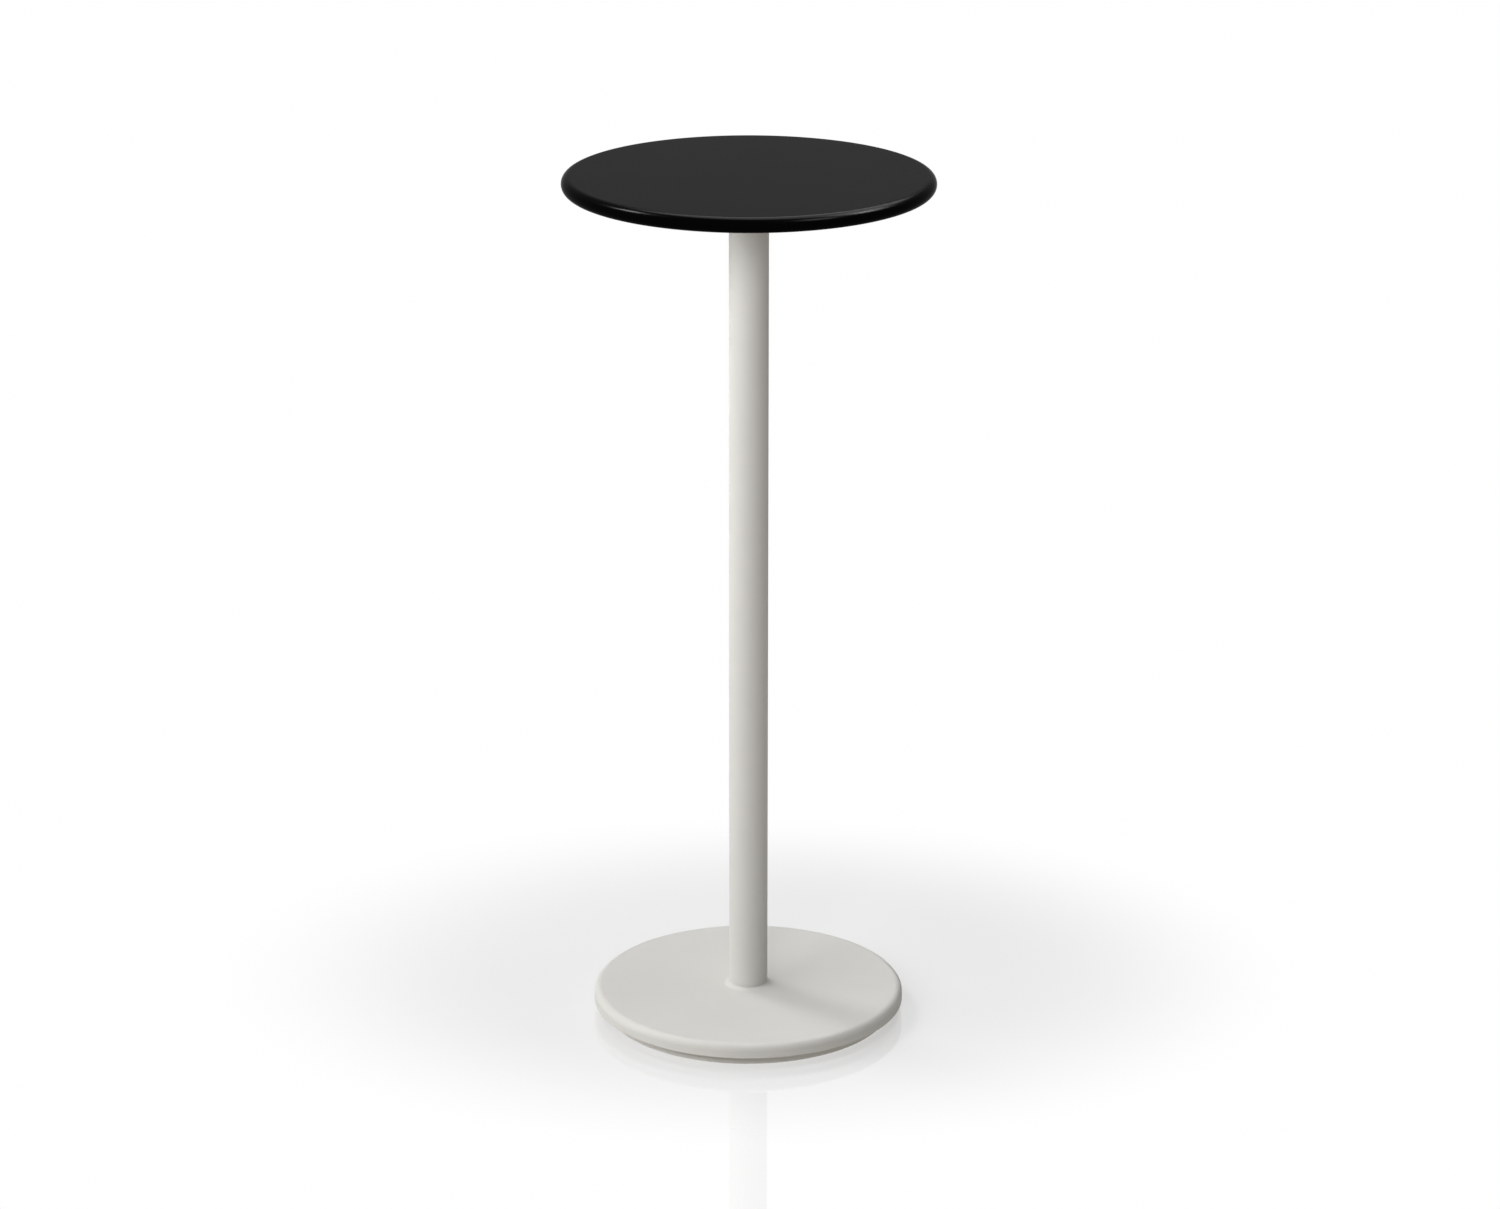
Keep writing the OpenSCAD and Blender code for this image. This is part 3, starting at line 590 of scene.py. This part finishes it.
upper_thread = (ROD_R, M10_PITCH, ROD_TOP - ROD_THREAD_HIGH, ROD_TOP)
lower_thread = (ROD_R, M10_PITCH, -ROD_FOOT - ROD_THREAD_LOW, -ROD_FOOT)
upper_rod = turned("tie_rod_finished", [
    at(ROD_R, ROD_MIDDLE), *thread(*upper_thread), at(0, ROD_TOP),
], zinc, **thread_sizes(*upper_thread))
lower_rod = turned("lower_rod", [
    at(ROD_R, -ROD_MIDDLE), *thread(*lower_thread), at(0, -ROD_FOOT),
], zinc, **thread_sizes(*lower_thread))
lower_rod.data.transform(Matrix.Rotation(math.pi, 4, "X"))
both = bmesh.new()
both.from_mesh(upper_rod.data)
both.from_mesh(lower_rod.data)
bmesh.ops.remove_doubles(both, verts=both.verts, dist=WELD)
bmesh.ops.recalc_face_normals(both, faces=both.faces)
both.to_mesh(upper_rod.data)
both.free()
bpy.data.objects.remove(lower_rod)
settle(upper_rod, "table", "zinc", "tie_rod")

countersink = NUT_HALF * HEX_FACE * NUT_COUNTERSINK
for name, low, cad in (("lower_nut", LOWER_NUT_Z, "rod_nut"),
                       ("lock_nut", LOCK_NUT_Z, "rod_lock_nut")):
    high = low + NUT_H
    nut = turned(name, [
        at(NUT_BORE, low + countersink - NUT_BORE), at(countersink, low),
        *hexagon_rows(NUT_HALF, low, high),
        at(countersink, high), at(NUT_BORE, high - countersink + NUT_BORE),
        at(NUT_BORE, low + countersink - NUT_BORE),
    ], zinc, sides=60)
    settle(nut, "table", "zinc", cad)


def washer(name, bore, rim, low, high, edge, finish, sides=64):
    """A punched washer: its lower edges drawn in round by the punch, its upper ones broken."""
    small = edge / 3
    return turned(name, [
        at(bore, high - small), at(bore, low + small), at(bore + small, low),
        *arc(rim - edge, low + edge, edge, -90, 0, 5),
        at(rim, high - small), at(rim - small, high),
        at(bore + small, high), at(bore, high - small),
    ], finish, sides=sides)


large_washer = washer("large_washer", ROD_WASHER_BORE, ROD_WASHER_R,
                      ROD_WASHER_LOW, ROD_WASHER_HIGH, ROD_WASHER_EDGE, zinc)
settle(large_washer, "table", "zinc", "rod_washer")
node["rod_spring_washer"].material_slots[0].material = zinc


# Top spider: a casting with a hub for the tube and four webbed arms, under a black powder coat.
# It starts from the solid, whose edges and corners are softened as a casting's are.
SPIDER_WELD, SPIDER_VOXEL = 0.000005, 0.0010
SMOOTHING, SMOOTHING_ROUNDS = 0.5, 6

spider_coat = surface("spider_powder_coat", (0.028, 0.028, 0.028), (0.42, 0.52), patch=60,
                      grain=1100, relief=0.000015, spread=0.05)
spider = bpy.data.objects.new("spider", node["top_spider"].data.copy())
scene.collection.objects.link(spider)
merged = bmesh.new()
merged.from_mesh(spider.data)
bmesh.ops.remove_doubles(merged, verts=merged.verts, dist=SPIDER_WELD)
merged.to_mesh(spider.data)
merged.free()
skin_over = spider.modifiers.new("skin", "REMESH")
skin_over.mode, skin_over.voxel_size, skin_over.use_smooth_shade = "VOXEL", SPIDER_VOXEL, True
soften = spider.modifiers.new("soften", "SMOOTH")
soften.factor, soften.iterations = SMOOTHING, SMOOTHING_ROUNDS
bpy.context.view_layer.update()
cast = bpy.data.meshes.new_from_object(spider.evaluated_get(bpy.context.evaluated_depsgraph_get()))
spider.modifiers.clear()
spider.data = cast
cast.materials.clear()
cast.materials.append(spider_coat)
settle(spider, "table", "spider_casting", "top_spider")


# Set screws: two M6 of blackened steel through the hub's wall, with a cup point that bites the
# tube and a hexagon socket outside.
SET_SCREW_Z, SET_SCREW_FOOT, SET_SCREW_LEN, SET_SCREW_KEY = 1.037, 0.0242, 0.006, 0.003
SET_CUP, SET_CUP_RIM, SET_CONE = 0.0009, 0.0013, 0.0006
SET_KEY_BREAK, SET_KEY_CONE = 0.0004, 0.0005
SCREW_R, M6_PITCH = 0.003, 0.001

set_thread = (SCREW_R, M6_PITCH, SET_CONE, SET_SCREW_LEN)
set_key = SET_SCREW_KEY / 2
set_screw = turned("set_screw", [
    at(0, SET_CUP), at(SET_CUP, 0), at(SET_CUP_RIM, 0), at(SCREW_R - SET_CONE, 0),
    *thread(*set_thread),
    at(set_key + SET_KEY_BREAK, SET_SCREW_LEN), at(set_key, SET_SCREW_LEN - FINE_BREAK, 1),
    at(set_key, SET_SCREW_LEN / 2, 1), at(0, SET_SCREW_LEN / 2 - SET_KEY_CONE),
], black_oxide, **thread_sizes(*set_thread))
laid_down = Matrix.Rotation(math.pi / 2, 4, "Y")
set_screw.data.transform(Matrix.Translation((0, 0, SET_SCREW_Z)) @ laid_down)
first = around("first_set_screw", set_screw, SET_SCREW_FOOT, 1, 0.0, black_oxide)
pair = bmesh.new()
pair.from_mesh(first.data)
first.data.transform(Matrix.Rotation(math.pi / 2, 4, "Z"))
pair.from_mesh(first.data)
pair.to_mesh(first.data)
pair.free()
first.name = "set_screw_pair"
settle(first, "table", "black_steel", "hub_set_screws")


# Tabletop: a round wood-fibre board with a full half-round edge, in black satin lacquer. The
# edge is a half circle swept round the rim, and the inserts' holes are drilled from below.
TOP_R, TOP_UNDERSIDE, TOP_T = 0.2249, 1.061, 0.019
HOLE_REACH, HOLE_R, HOLE_DEPTH, HOLE_SIDES = 0.140, 0.00465, 0.012, 48
# The swept rim reaches in over the flats by this much.
RIM_MARGIN = 0.002

lacquer_black = surface("black_satin_lacquer", (0.0005, 0.0005, 0.0005), (0.21, 0.27), patch=14,
                        grain=260, relief=0.000004, spread=0.05, level=0.0022, coat=(0.018, 0.20))
board = Recipe("round_board", Radius=0.2, Thickness=0.02, Underside=1.0, Sides=320, Edge_Steps=20,
               Holes=4, Hole_Reach=0.1, Hole_Radius=0.005, Hole_Depth=0.01)
size = board.given
edge_r = board.math("MULTIPLY", size["Thickness"], 0.5)
flat_r = board.math("SUBTRACT", size["Radius"], edge_r)
rim_path = board.add("GeometryNodeCurvePrimitiveCircle", {
    "Resolution": size["Sides"], "Radius": flat_r})
upright = board.add("GeometryNodeSetCurveNormal", {0: rim_path}, mode="Z_UP")
half_round = board.add("GeometryNodeCurveArc", {
    "Resolution": size["Edge_Steps"], "Radius": edge_r,
    "Start Angle": -math.pi / 2, "Sweep Angle": math.pi})
ledges = []
for side in (-1, 1):
    level_y = board.math("MULTIPLY", edge_r, side)
    ledges.append(board.add("GeometryNodeCurvePrimitiveLine", {
        "Start": board.add("ShaderNodeCombineXYZ", {"X": -RIM_MARGIN, "Y": level_y}),
        "End": board.add("ShaderNodeCombineXYZ", {"X": 0, "Y": level_y})}))
profile = board.add("GeometryNodeJoinGeometry")
for strand in (half_round, *ledges):
    board.tree.links.new(strand.outputs[0], profile.inputs[0])
rim = board.add("GeometryNodeCurveToMesh", {0: upright, "Profile Curve": profile})
faces = board.add("GeometryNodeJoinGeometry")
board.tree.links.new(rim.outputs[0], faces.inputs[0])
for side in (-1, 1):
    disc = board.add("GeometryNodeMeshCircle", {
        "Vertices": size["Sides"],
        "Radius": board.math("SUBTRACT", flat_r, RIM_MARGIN)}, fill_type="NGON")
    face_z = board.add("ShaderNodeCombineXYZ", {"Z": board.math("MULTIPLY", edge_r, side)})
    lifted = board.add("GeometryNodeTransform", {"Geometry": disc, "Translation": face_z})
    board.tree.links.new(lifted.outputs[0], faces.inputs[0])
blank = board.add("GeometryNodeMergeByDistance", {"Geometry": faces, "Distance": WELD})
drill = board.add("GeometryNodeMeshCylinder", {
    "Vertices": HOLE_SIDES, "Radius": size["Hole_Radius"],
    "Depth": board.math("MULTIPLY", size["Hole_Depth"], 2)})
hole_mouth = board.add("ShaderNodeCombineXYZ", {
    "X": size["Hole_Reach"], "Z": board.math("MULTIPLY", edge_r, -1)})
drill_out = board.add("GeometryNodeTransform", {
    "Geometry": drill.outputs["Mesh"], "Translation": hole_mouth})
hole_spots = board.add("GeometryNodeMeshLine", {"Count": size["Holes"], "Offset": (0, 0, 0)})
hole_step = board.math("DIVIDE", math.tau, size["Holes"])
hole_number = board.add("GeometryNodeInputIndex")
hole_turn = board.add("ShaderNodeCombineXYZ", {
    "Z": board.math("MULTIPLY_ADD", hole_number, hole_step, math.pi / 4)})
drills = board.add("GeometryNodeInstanceOnPoints", {
    "Points": hole_spots, "Instance": drill_out, "Rotation": hole_turn})
drills = board.add("GeometryNodeRealizeInstances", {"Geometry": drills})
drilled = board.add("GeometryNodeMeshBoolean", {
    "Mesh 1": blank, "Mesh 2": drills}, operation="DIFFERENCE")
board_middle = board.add("ShaderNodeCombineXYZ", {
    "Z": board.math("ADD", size["Underside"], edge_r)})
board.end(board.add("GeometryNodeTransform", {
    "Geometry": drilled.outputs["Mesh"], "Translation": board_middle}))
top = board.make("round_top", bpy.data.meshes.new("top_blank"), lacquer_black, Radius=TOP_R,
                 Thickness=TOP_T, Underside=TOP_UNDERSIDE, Hole_Reach=HOLE_REACH,
                 Hole_Radius=HOLE_R, Hole_Depth=HOLE_DEPTH)
settle(top, "table", "tabletop_black", "tabletop")


# Threaded inserts: four turned brass sleeves driven into the board, with a coarse thread that
# holds in the wood fibre and an M6 bore.
INSERT_R, INSERT_BORE, INSERT_LEN, INSERT_PITCH = 0.0046, 0.00305, 0.012, 0.0018
INSERT_COLLAR, INSERT_COUNTERSINK, INSERT_EDGE = 0.0012, 0.0004, 0.0003

brass = surface("turned_brass", (0.62, 0.47, 0.21), (0.22, 0.34), patch=300, grain=2200,
                relief=0.000004, spread=0.05, metallic=1.0)
insert_top = TOP_UNDERSIDE + INSERT_LEN
insert_thread = (INSERT_R, INSERT_PITCH, TOP_UNDERSIDE + INSERT_COLLAR, insert_top)
insert = turned("insert", [
    at(INSERT_BORE, TOP_UNDERSIDE + INSERT_COUNTERSINK),
    at(INSERT_BORE + INSERT_COUNTERSINK, TOP_UNDERSIDE),
    at(INSERT_R - INSERT_EDGE, TOP_UNDERSIDE), at(INSERT_R, TOP_UNDERSIDE + INSERT_EDGE),
    *thread(*insert_thread),
    at(INSERT_BORE, insert_top), at(INSERT_BORE, TOP_UNDERSIDE + INSERT_COUNTERSINK),
], brass, **thread_sizes(*insert_thread))
settle(around("insert_set", insert, HOLE_REACH, 4, math.pi / 4, brass),
       "table", "insert_brass", "tabletop_inserts")


# Top screws: four zinc-plated M6 button-head screws with a hexagon socket, each on a punched
# washer, that hold the spider to the board's inserts.
SEAT_Z, HEAD_R, HEAD_H, HEAD_FOOT, HEAD_EDGE = 1.0494, 0.00525, 0.0033, 0.0003, 0.0001
SCREW_LEN, SCREW_KEY, SCREW_KEY_DEPTH = 0.020, 0.004, 0.6
# A hexagon's corners lie this much further out than its flats.
HEX_CORNER = 1.1547
KEY_MOUTH, KEY_MOUTH_LIFT, KEY_MOUTH_SLOPE = 0.0003, 0.0001, 0.4
DOME_STEPS = 10
WASHER_R, WASHER_BORE, WASHER_T, WASHER_EDGE = 0.006, 0.0034, 0.0016, 0.0003

crown_z = SEAT_Z - HEAD_H
dome_r = (HEAD_R ** 2 + HEAD_H ** 2) / (2 * HEAD_H)
screw_thread = (SCREW_R, M6_PITCH, SEAT_Z, SEAT_Z + SCREW_LEN)
key_r = SCREW_KEY / 2


def dome_z(r):
    """The height of the button head at a radius."""
    return crown_z + dome_r - math.sqrt(dome_r ** 2 - r ** 2)


dome_inner = key_r * HEX_CORNER + KEY_MOUTH
dome_width = HEAD_R - HEAD_EDGE - dome_inner
dome_radii = [dome_inner + dome_width * i / DOME_STEPS for i in range(DOME_STEPS + 1)]
screw = turned("top_screw", [
    *key_floor(key_r, crown_z + HEAD_H * SCREW_KEY_DEPTH, rim=0.0002, tip=0.0006),
    at(key_r, dome_z(key_r) + KEY_MOUTH_LIFT, 1, KEY_MOUTH_SLOPE),
    *[at(r, dome_z(r)) for r in dome_radii],
    at(HEAD_R, SEAT_Z - HEAD_FOOT), at(HEAD_R - FINE_BREAK, SEAT_Z),
    *thread(*screw_thread), at(0, SEAT_Z + SCREW_LEN),
], zinc, **thread_sizes(*screw_thread))
settle(around("top_screw_set", screw, HOLE_REACH, 4, math.pi / 4, zinc),
       "table", "zinc", "spider_screws")
screw_washer = washer("screw_washer", WASHER_BORE, WASHER_R, SEAT_Z, SEAT_Z + WASHER_T,
                      WASHER_EDGE, zinc, sides=48)
settle(around("screw_washer_set", screw_washer, HOLE_REACH, 4, math.pi / 4, zinc),
       "table", "zinc", "spider_washers")
